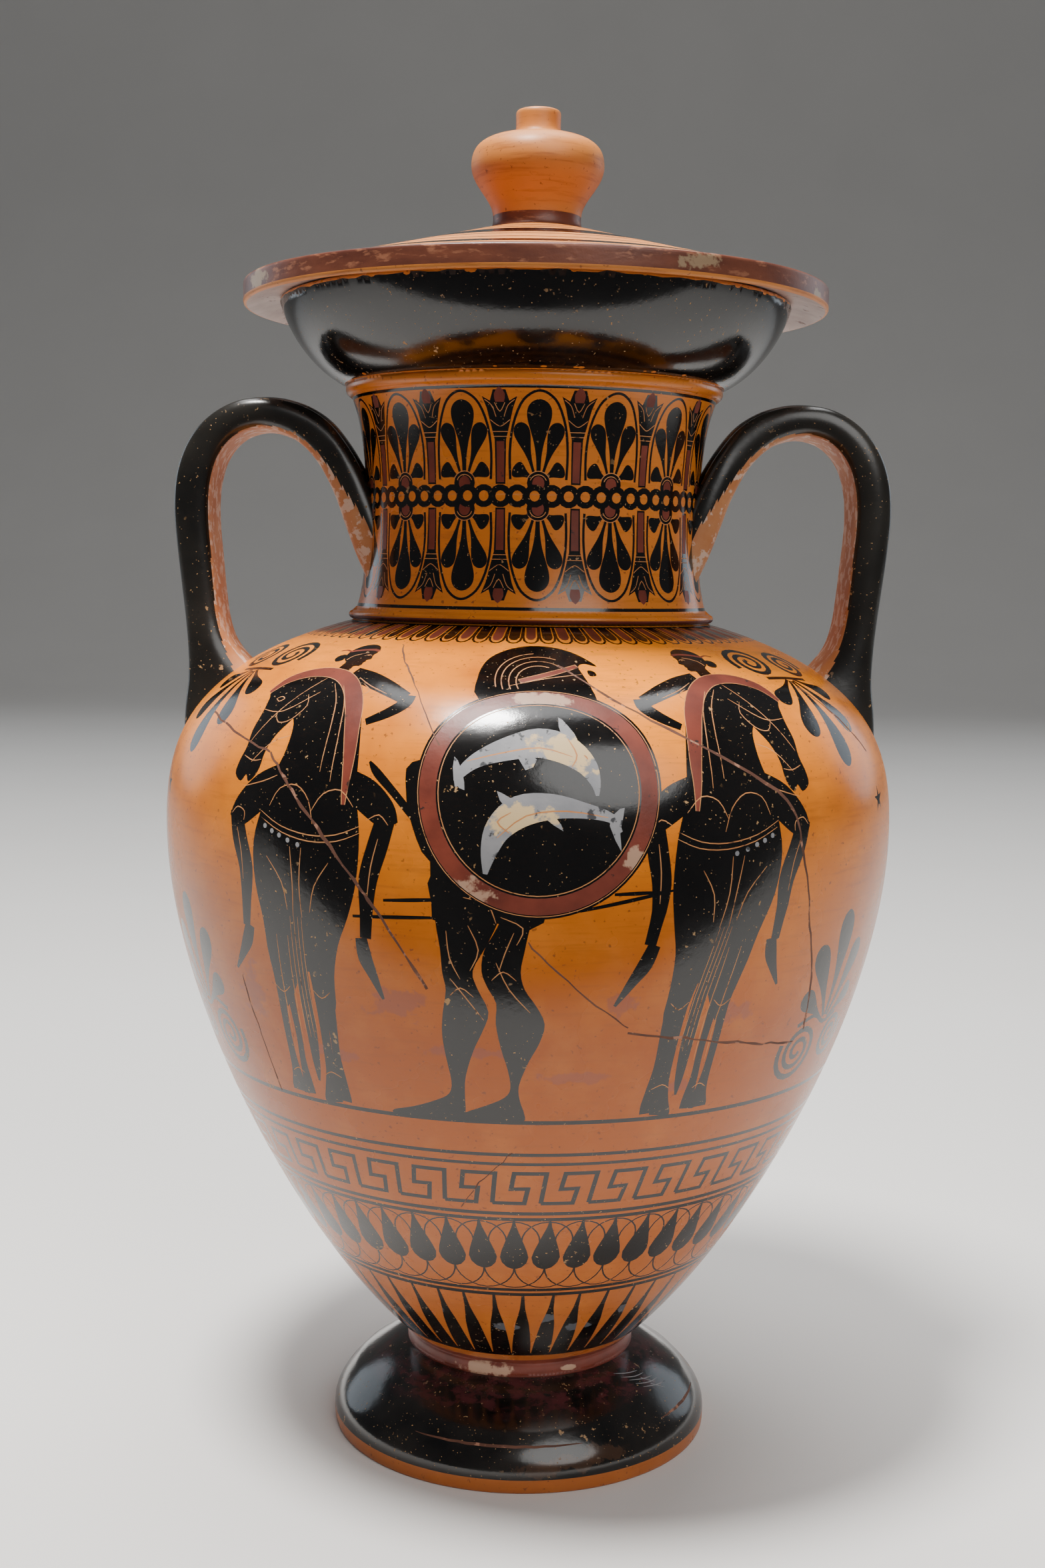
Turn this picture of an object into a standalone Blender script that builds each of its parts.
# Black-figure neck-amphora with its lid, as two turned clay solids.
# Run: blender --background --python part.py
# Units are metres, +Z is up. The origin is the centre of the foot's standing ring.
# The handles lie on +X and -X, and the painted front faces -Y.

import math

import bmesh
import bpy
from mathutils import Vector

# Turning
TURN_STEPS = 48
MERGE = 0.00001

# Foot
FOOT_RADIUS = 0.0718
FOOT_EDGE_HEIGHT = 0.0055
FOOT_EDGE_ROUND = 0.0010
FOOT_SHOULDER_RADIUS = 0.0625
FOOT_SHOULDER_HEIGHT = 0.0205
FOOT_HEIGHT = 0.0315
STANDING_RING_WIDTH = 0.0115
FOOT_RECESS_DEPTH = 0.0200
FOOT_RECESS_TOP_RADIUS = 0.0360
FILLET_HEIGHT = 0.0050
FILLET_PROJECTION = 0.0009

# Body
STEM_RADIUS = 0.0430
BODY_RISE = 0.1975
BELLY_RADIUS = 0.1350
SHOULDER_RISE = 0.0745

# Neck
NECK_RING_HEIGHT = 0.0035
NECK_RING_PROJECTION = 0.0026
NECK_BASE_RADIUS = 0.0658
NECK_WAIST_RADIUS = 0.0620
NECK_TOP_RADIUS = 0.0676
NECK_HEIGHT = 0.0780
NECK_FILLET_HEIGHT = 0.0040

# Mouth
MOUTH_RISE = 0.0305
LIP_RADIUS = 0.0937
LIP_ROUND = 0.0016
LIP_WIDTH = 0.0097

# Walls
WALL = 0.0060
FLOOR_THICKNESS = 0.0120

# Handles
REED_PITCH = 0.0112
REED_RISE = 0.0024
MIDDLE_REED_RISE = 0.0014
STRAP_THICKNESS = 0.0110
STRAP_CORNER = 0.0025
NECK_ROOT_HEIGHT = 0.0410
ROOT_DEPTH = 0.0110
HANDLE_RISE = 0.0308
HANDLE_TOP_OFFSET = 0.0360
HANDLE_REACH_INSET = 0.0118
HANDLE_KNEE_HEIGHT = 0.0430
SHOULDER_ROOT_INSET = 0.0175
NECK_ROOT_SWELL = 1.55
SHOULDER_ROOT_SWELL = 1.45

# Lid
SEAT_GAP = 0.0003
LID_OVERHANG = 0.0133
LID_RIM_HEIGHT = 0.0080
LID_RIM_DROP = 0.0032
LID_RIM_ROUND = 0.0012
LID_CONE_RISE = 0.0220
LID_THICKNESS = 0.0055
FLANGE_GAP = 0.0020
FLANGE_WIDTH = 0.0050
FLANGE_DEPTH = 0.0080
KNOB_STEM_RADIUS = 0.0162
KNOB_STEM_HEIGHT = 0.0045
KNOB_RADIUS = 0.0244
KNOB_RISE = 0.0182
KNOB_CROWN = 0.0113
FINIAL_RADIUS = 0.0083
FINIAL_HEIGHT = 0.0090

# Heights of the joints between the turned sections, from the floor up
STEM_Z = FOOT_HEIGHT + FILLET_HEIGHT
BELLY_Z = STEM_Z + BODY_RISE
NECK_Z = BELLY_Z + SHOULDER_RISE
NECK_TOP_Z = NECK_Z + NECK_RING_HEIGHT + NECK_HEIGHT
MOUTH_Z = NECK_TOP_Z + NECK_FILLET_HEIGHT
LIP_Z = MOUTH_Z + MOUTH_RISE
LID_Z = LIP_Z + SEAT_GAP


def bezier(start, start_pull, end_pull, end, steps):
    """Points of one cubic curve in the profile plane, without its first point."""
    points = []
    for i in range(1, steps + 1):
        t = i / steps
        s = 1.0 - t
        weights = (s ** 3, 3 * s * s * t, 3 * s * t * t, t ** 3)
        corners = (start, start_pull, end_pull, end)
        radius = sum(w * c[0] for w, c in zip(weights, corners))
        height = sum(w * c[1] for w, c in zip(weights, corners))
        points.append((radius, height))
    return points


def foot_profile():
    """Outer side of the foot, from the standing ring up to the stem."""
    points = [(FOOT_RADIUS - FOOT_EDGE_ROUND, 0.0)]
    points += bezier(points[-1], (FOOT_RADIUS, 0.0), (FOOT_RADIUS, FOOT_EDGE_ROUND),
                     (FOOT_RADIUS, FOOT_EDGE_HEIGHT), 2)
    shoulder = (FOOT_SHOULDER_RADIUS, FOOT_SHOULDER_HEIGHT)
    side = FOOT_SHOULDER_HEIGHT - FOOT_EDGE_HEIGHT
    points += bezier(points[-1], (FOOT_RADIUS, FOOT_EDGE_HEIGHT + 0.4 * side),
                     (FOOT_SHOULDER_RADIUS + 0.3 * side, FOOT_SHOULDER_HEIGHT - 0.3 * side), shoulder, 3)
    drop = FOOT_HEIGHT - FOOT_SHOULDER_HEIGHT
    run = FOOT_SHOULDER_RADIUS - STEM_RADIUS
    points += bezier(shoulder, (FOOT_SHOULDER_RADIUS - 0.35 * run, FOOT_SHOULDER_HEIGHT + 0.45 * drop),
                     (STEM_RADIUS + 0.25 * run, FOOT_HEIGHT - 0.1 * drop), (STEM_RADIUS, FOOT_HEIGHT), 2)
    return points


def body_profile():
    """Outer side of the body, from the fillet on the stem up to the neck."""
    bulge = STEM_RADIUS + FILLET_PROJECTION
    points = [(bulge, FOOT_HEIGHT + 0.3 * FILLET_HEIGHT), (bulge, FOOT_HEIGHT + 0.7 * FILLET_HEIGHT)]
    points.append((STEM_RADIUS, STEM_Z))
    growth = BELLY_RADIUS - STEM_RADIUS
    points += bezier(points[-1], (STEM_RADIUS + 0.42 * growth, STEM_Z + 0.166 * BODY_RISE),
                     (BELLY_RADIUS, BELLY_Z - 0.346 * BODY_RISE), (BELLY_RADIUS, BELLY_Z), 8)
    closing = BELLY_RADIUS - NECK_BASE_RADIUS
    points += bezier(points[-1], (BELLY_RADIUS, BELLY_Z + 0.377 * SHOULDER_RISE),
                     (BELLY_RADIUS - 0.083 * closing, NECK_Z - 0.227 * SHOULDER_RISE),
                     (NECK_BASE_RADIUS, NECK_Z), 6)
    return points


def neck_profile():
    """Outer side of the neck, from its ring up to the fillet under the mouth."""
    ring = NECK_BASE_RADIUS + NECK_RING_PROJECTION
    base = NECK_Z + NECK_RING_HEIGHT
    points = [(ring, NECK_Z), (ring, base - 0.25 * NECK_RING_HEIGHT), (NECK_BASE_RADIUS, base)]
    low_pull = NECK_WAIST_RADIUS - 0.40 * (NECK_BASE_RADIUS - NECK_WAIST_RADIUS)
    high_pull = NECK_WAIST_RADIUS - 0.40 * (NECK_TOP_RADIUS - NECK_WAIST_RADIUS)
    points += bezier(points[-1], (low_pull, base + 0.11 * NECK_HEIGHT),
                     (high_pull, NECK_TOP_Z - 0.21 * NECK_HEIGHT), (NECK_TOP_RADIUS, NECK_TOP_Z), 5)
    points.append((NECK_TOP_RADIUS + NECK_RING_PROJECTION, NECK_TOP_Z + 0.25 * NECK_FILLET_HEIGHT))
    points.append((NECK_TOP_RADIUS + 0.5 * NECK_RING_PROJECTION, MOUTH_Z))
    return points


def mouth_profile():
    """Outer side and top of the mouth, ending at the inner edge of the lip's seat."""
    start = (NECK_TOP_RADIUS + 0.5 * NECK_RING_PROJECTION, MOUTH_Z)
    flare = LIP_RADIUS - start[0]
    side_top = LIP_Z - LIP_ROUND
    points = bezier(start, (start[0] + 0.25 * flare, MOUTH_Z + 0.05 * MOUTH_RISE),
                    (LIP_RADIUS - 0.21 * flare, LIP_Z - 0.62 * MOUTH_RISE), (LIP_RADIUS, side_top), 5)
    points.append((LIP_RADIUS - LIP_ROUND, LIP_Z))
    return points


def outer_profile():
    return foot_profile() + body_profile() + neck_profile() + mouth_profile()


def inset(points, distance):
    """Points of a rising profile moved towards the hollow side, square to the profile."""
    moved = []
    for i, (radius, height) in enumerate(points):
        before = points[max(i - 1, 0)]
        after = points[min(i + 1, len(points) - 1)]
        along = Vector((after[0] - before[0], after[1] - before[1])).normalized()
        moved.append((radius - distance * along.y, height + distance * along.x))
    return moved


def shoulder_height_at(radius):
    """Height of the shoulder's surface at a radius between the neck and the belly."""
    closing = [p for p in body_profile() if p[1] >= BELLY_Z]
    for outer, inner in zip(closing, closing[1:]):
        if inner[0] <= radius <= outer[0]:
            share = (outer[0] - radius) / (outer[0] - inner[0])
            return outer[1] + share * (inner[1] - outer[1])
    return NECK_Z


def cavity_profile():
    """The hollow inside the walls, from its floor up to the open mouth."""
    floor_z = STEM_Z + FLOOR_THICKNESS
    side = [p for p in body_profile()[:-1] if p[1] > floor_z + 0.5 * FLOOR_THICKNESS]
    neck = neck_profile()[2:-2]
    bore_low = LIP_Z - FLANGE_DEPTH - FLANGE_GAP
    inner_lip = LIP_RADIUS - LIP_WIDTH
    flare = [p for p in inset(mouth_profile()[:-1], WALL) if p[0] < inner_lip and p[1] < bore_low]
    walls = inset(side + neck, WALL)
    points = [(0.0, floor_z), (0.7 * walls[0][0], floor_z + 0.15 * FLOOR_THICKNESS)]
    points += walls + flare
    above = LIP_Z + 2.0 * WALL
    points += [(inner_lip, bore_low), (inner_lip, above), (0.0, above)]
    return points


def lid_profile():
    """Closed outline of the lid, from the top of the knob down to its underside."""
    rim = LIP_RADIUS + LID_OVERHANG
    rim_low = LID_Z - LID_RIM_DROP
    rim_top = rim_low + LID_RIM_HEIGHT
    cone_top = rim_top + LID_CONE_RISE
    bulb_low = cone_top + KNOB_STEM_HEIGHT
    bulb_mid = bulb_low + KNOB_RISE
    bulb_top = bulb_mid + KNOB_CROWN
    top = bulb_top + FINIAL_HEIGHT
    points = [(0.0, top), (FINIAL_RADIUS - LID_RIM_ROUND, top), (FINIAL_RADIUS, top - LID_RIM_ROUND)]
    points.append((FINIAL_RADIUS, bulb_top))
    points += bezier(points[-1], (FINIAL_RADIUS + 0.75 * (KNOB_RADIUS - FINIAL_RADIUS), bulb_top - 0.12 * KNOB_CROWN),
                     (KNOB_RADIUS, bulb_mid + 0.62 * KNOB_CROWN), (KNOB_RADIUS, bulb_mid), 4)
    points += bezier(points[-1], (KNOB_RADIUS, bulb_mid - 0.38 * KNOB_RISE),
                     (KNOB_STEM_RADIUS, bulb_low + 0.35 * KNOB_RISE), (KNOB_STEM_RADIUS, bulb_low), 3)
    points.append((KNOB_STEM_RADIUS, cone_top))
    points += bezier(points[-1], (KNOB_STEM_RADIUS + 0.15 * rim, cone_top - 0.17 * LID_CONE_RISE),
                     (rim - 0.15 * rim, rim_top + 0.10 * LID_CONE_RISE), (rim - LID_RIM_ROUND, rim_top), 3)
    points += [(rim, rim_top - LID_RIM_ROUND), (rim, rim_low + LID_RIM_ROUND), (rim - LID_RIM_ROUND, rim_low)]
    points.append((LIP_RADIUS + 0.2 * LID_OVERHANG, LID_Z))
    flange = LIP_RADIUS - LIP_WIDTH - FLANGE_GAP
    points += [(flange, LID_Z), (flange, LID_Z - FLANGE_DEPTH), (flange - FLANGE_WIDTH, LID_Z - FLANGE_DEPTH)]
    inner = flange - FLANGE_WIDTH
    cone_slope = LID_CONE_RISE / (rim - KNOB_STEM_RADIUS)
    under = rim_top + cone_slope * (rim - inner) - LID_THICKNESS
    points += [(inner, under), (0.0, cone_top - LID_THICKNESS)]
    return points


def material(name, colour, roughness):
    result = bpy.data.materials.new(name)
    result.use_nodes = True
    shader = result.node_tree.nodes["Principled BSDF"]
    shader.inputs["Base Color"].default_value = (*colour, 1.0)
    shader.inputs["Roughness"].default_value = roughness
    shader.inputs["Metallic"].default_value = 0.0
    result.diffuse_color = (*colour, 1.0)
    return result


def collection(name):
    result = bpy.data.collections.new(name)
    bpy.context.scene.collection.children.link(result)
    return result


def turned(name, profile, home, look):
    """A solid of revolution: the profile runs top to bottom at +X, with both ends on the axis."""
    mesh = bpy.data.meshes.new(name)
    points = [(radius, 0.0, height) for radius, height in profile]
    edges = [(i, i + 1) for i in range(len(points) - 1)]
    mesh.from_pydata(points, edges, [])
    result = bpy.data.objects.new(name, mesh)
    mesh.materials.append(look)
    home.objects.link(result)
    screw = result.modifiers.new("Turn", "SCREW")
    screw.axis = "Z"
    screw.angle = math.tau
    screw.steps = TURN_STEPS
    screw.render_steps = TURN_STEPS
    screw.use_merge_vertices = True
    screw.merge_threshold = MERGE
    screw.use_smooth_shade = True
    return result


def strap_section(home):
    """Cross-section of a handle: a flat inner side and three rounded reeds on the outer side."""
    half_width = 1.5 * REED_PITCH
    inner = -0.5 * STRAP_THICKNESS
    groove = 0.5 * STRAP_THICKNESS
    points = [(-half_width + STRAP_CORNER, inner), (-half_width, inner + STRAP_CORNER)]
    for reed in (-1, 0, 1):
        rise = REED_RISE + (MIDDLE_REED_RISE if reed == 0 else 0.0)
        for step in (-1, 0, 1):
            across = (reed + 0.30 * step) * REED_PITCH
            height = groove + rise * (1.0 if step == 0 else 0.62)
            points.append((across, height))
        if reed < 1:
            points.append(((reed + 0.5) * REED_PITCH, groove))
    points[2] = (-half_width + 0.1 * REED_PITCH, groove)
    points[-1] = (half_width - 0.1 * REED_PITCH, groove)
    points += [(half_width, inner + STRAP_CORNER), (half_width - STRAP_CORNER, inner)]
    curve = bpy.data.curves.new("handle_section", "CURVE")
    curve.dimensions = "2D"
    spline = curve.splines.new("POLY")
    spline.points.add(len(points) - 1)
    for point, place in zip(spline.points, points):
        point.co = (place[0], place[1], 0.0, 1.0)
    spline.use_cyclic_u = True
    result = bpy.data.objects.new("handle_section", curve)
    home.objects.link(result)
    result.hide_render = True
    result.display_type = "WIRE"
    return result


def handle_stations():
    """Bezier stations of a handle's centre line in the X-Z plane: place, pull back, pull on, swell."""
    root = Vector((NECK_WAIST_RADIUS, 0.0, NECK_Z + NECK_ROOT_HEIGHT))
    climb = Vector((0.62, 0.0, 0.78)).normalized()
    top = Vector((NECK_WAIST_RADIUS + HANDLE_TOP_OFFSET, 0.0, root.z + HANDLE_RISE))
    knee = Vector((BELLY_RADIUS - HANDLE_REACH_INSET, 0.0, NECK_Z + HANDLE_KNEE_HEIGHT))
    foot_x = BELLY_RADIUS - SHOULDER_ROOT_INSET
    foot = Vector((foot_x, 0.0, shoulder_height_at(foot_x)))
    fall = (foot - knee).normalized()
    level = Vector((1.0, 0.0, 0.0))
    plumb = Vector((0.0, 0.0, -1.0))
    over = 0.55 * (knee.x - top.x)
    down = 0.60 * (top.z - knee.z)
    return [
        (root - climb * ROOT_DEPTH, climb * 0.3 * ROOT_DEPTH, climb * 0.3 * ROOT_DEPTH, NECK_ROOT_SWELL),
        (root + climb * ROOT_DEPTH, climb * 0.4 * ROOT_DEPTH, climb * ROOT_DEPTH, 1.10),
        (top, level * 0.36 * HANDLE_TOP_OFFSET, level * over, 1.0),
        (knee, plumb * down, plumb * 0.30 * (knee.z - foot.z), 1.0),
        (foot - fall * 0.30 * (knee.z - foot.z), fall * 0.22 * (knee.z - foot.z),
         fall * 0.1 * (knee.z - foot.z), 1.02),
        (foot + fall * ROOT_DEPTH, fall * ROOT_DEPTH, fall * ROOT_DEPTH, SHOULDER_ROOT_SWELL),
    ]


def handle(name, side, section, home, look):
    """One strap handle as a swept curve, made a mesh so that it can be joined to the body."""
    curve = bpy.data.curves.new(name, "CURVE")
    curve.dimensions = "3D"
    curve.twist_mode = "MINIMUM"
    curve.bevel_mode = "OBJECT"
    curve.bevel_object = section
    curve.use_fill_caps = True
    curve.resolution_u = 4
    spline = curve.splines.new("BEZIER")
    stations = handle_stations()
    spline.bezier_points.add(len(stations) - 1)
    for point, (place, back, on, swell) in zip(spline.bezier_points, stations):
        mirror = Vector((side, 1.0, 1.0))
        point.handle_left_type = "FREE"
        point.handle_right_type = "FREE"
        point.co = place * mirror
        point.handle_left = (place - back) * mirror
        point.handle_right = (place + on) * mirror
        point.radius = swell
    swept = bpy.data.objects.new(name + "_path", curve)
    home.objects.link(swept)
    graph = bpy.context.evaluated_depsgraph_get()
    mesh = bpy.data.meshes.new_from_object(swept.evaluated_get(graph))
    mesh.name = name
    solid = bmesh.new()
    solid.from_mesh(mesh)
    bmesh.ops.remove_doubles(solid, verts=solid.verts, dist=MERGE)
    bmesh.ops.recalc_face_normals(solid, faces=solid.faces)
    solid.to_mesh(mesh)
    solid.free()
    mesh.materials.clear()
    mesh.materials.append(look)
    result = bpy.data.objects.new(name, mesh)
    result.matrix_world = swept.matrix_world
    home.objects.link(result)
    bpy.data.objects.remove(swept)
    return result


def combine(target, tool, operation):
    cut = target.modifiers.new(operation.title() + " " + tool.name, "BOOLEAN")
    cut.operation = operation
    cut.solver = "EXACT"
    cut.object = tool
    tool.hide_render = True
    tool.display_type = "WIRE"


def build():
    for item in list(bpy.data.objects):
        bpy.data.objects.remove(item)
    parts = collection("lidded_amphora")
    tools = collection("cutters")
    clay = material("amphora fired clay", (0.47, 0.17, 0.06), 0.45)
    lid_clay = material("lid fired clay", (0.20, 0.07, 0.05), 0.55)

    recess_edge = FOOT_RADIUS - FOOT_EDGE_ROUND - STANDING_RING_WIDTH
    underside = [(recess_edge, 0.0), (FOOT_RECESS_TOP_RADIUS, FOOT_RECESS_DEPTH), (0.0, FOOT_RECESS_DEPTH)]
    outer = [(0.0, LIP_Z)] + list(reversed(outer_profile())) + underside
    amphora = turned("amphora", outer, parts, clay)
    section = strap_section(tools)
    for side, word in ((1.0, "right"), (-1.0, "left")):
        combine(amphora, handle("handle_" + word, side, section, tools, clay), "UNION")
    cavity = turned("cavity", list(reversed(cavity_profile())), tools, clay)
    combine(amphora, cavity, "DIFFERENCE")
    turned("lid", lid_profile(), parts, lid_clay)


build()
